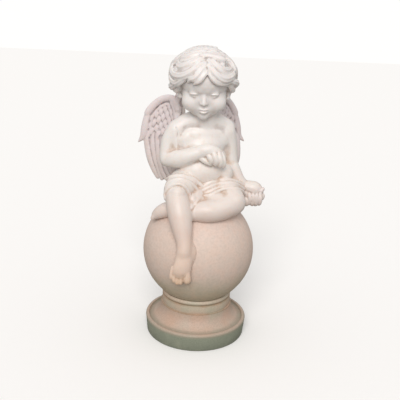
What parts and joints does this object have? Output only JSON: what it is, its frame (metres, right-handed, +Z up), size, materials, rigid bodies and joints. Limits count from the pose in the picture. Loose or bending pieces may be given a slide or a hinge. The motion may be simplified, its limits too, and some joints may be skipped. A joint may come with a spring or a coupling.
{
  "type": "angel statue",
  "caption": "Standing garden statue of a winged cherub in a draped cloth, seated with folded legs on a stippled ball over a round turned base.",
  "frame": {"origin": "centre of the round base, on the ground", "axes": "+Z up, the cherub's front faces -Y, +X to the right of someone looking at its face"},
  "size_m": [0.353, 0.3517, 0.7872],
  "materials": {
    "figure_stone": "ivory resin-bonded marble, hand rubbed to a satin sheen",
    "ball_stone": "buff cast stone with a stippled skin",
    "base_stone": "buff cast stone with a grey-green wash, smooth turned"
  },
  "bodies": {
    "root": {"cherub": "figure_stone", "ball": "ball_stone", "plinth": "base_stone"}
  },
  "joints": []
}
